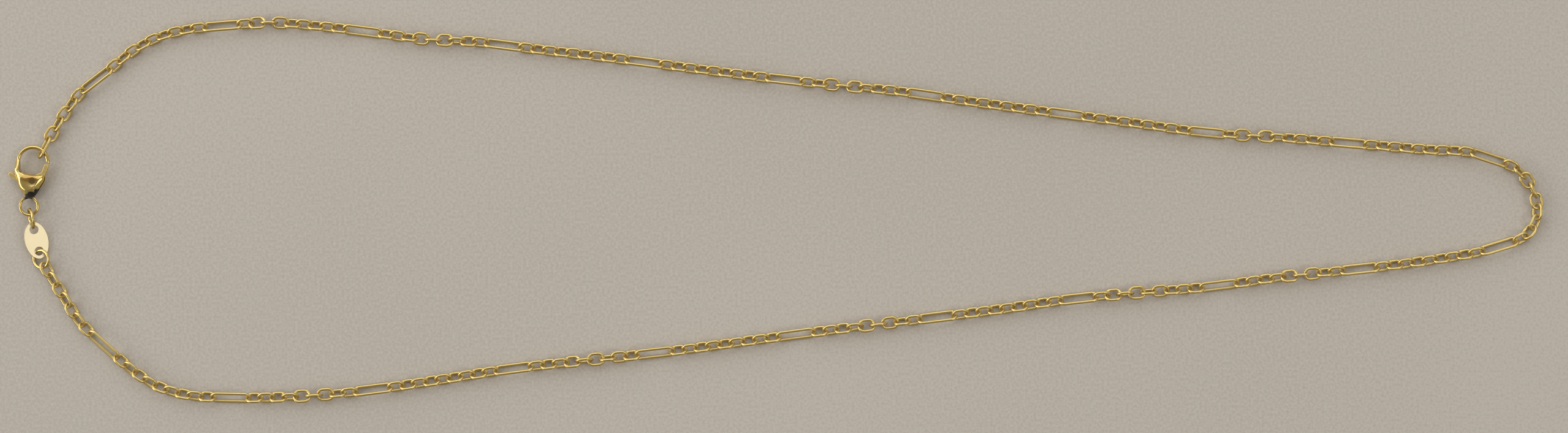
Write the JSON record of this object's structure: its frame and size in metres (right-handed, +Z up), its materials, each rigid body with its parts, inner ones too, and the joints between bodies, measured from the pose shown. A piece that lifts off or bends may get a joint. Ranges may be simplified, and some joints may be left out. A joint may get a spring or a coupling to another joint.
{
  "type": "figaro chain necklace",
  "caption": "Fine figaro neck chain of short and long round-wire links, closed by a lobster clasp, with a flat oval tag.",
  "frame": {"origin": "middle of the laid loop's outer box, on the surface that it lies on", "axes": "+X from the clasp to the far bend of the loop, +Y across the loop towards the hook, +Z up from the surface"},
  "size_m": [0.2352, 0.0593, 0.0032],
  "materials": {
    "short_links": "polished 14 carat gold",
    "long_links": "polished 14 carat gold",
    "end_link": "polished 14 carat gold",
    "clasp_body": "polished 14 carat gold, dark tarnish at the neck",
    "clasp_rivet": "filed 14 carat gold",
    "trigger": "satin 14 carat gold",
    "connecting_ring": "polished 14 carat gold",
    "tag": "satin 14 carat gold, bare",
    "jump_ring": "polished 14 carat gold"
  },
  "bodies": {
    "necklace": {"short_links": "short_links", "long_links": "long_links", "end_link": "end_link", "clasp_body": "clasp_body", "clasp_rivet": "clasp_rivet", "connecting_ring": "connecting_ring", "tag": "tag", "jump_ring": "jump_ring"},
    "trigger": {"trigger": "trigger"}
  },
  "joints": [
    {"name": "trigger_hinge", "type": "hinge", "parent": "necklace", "child": "trigger", "pos_m": [-0.11375, 0.00445, 0.0011], "axis": [0, 0, 1], "range_deg": [0, 22], "stiffness_Nm_per_rad": 0.003, "springref_deg": -8.59}
  ]
}
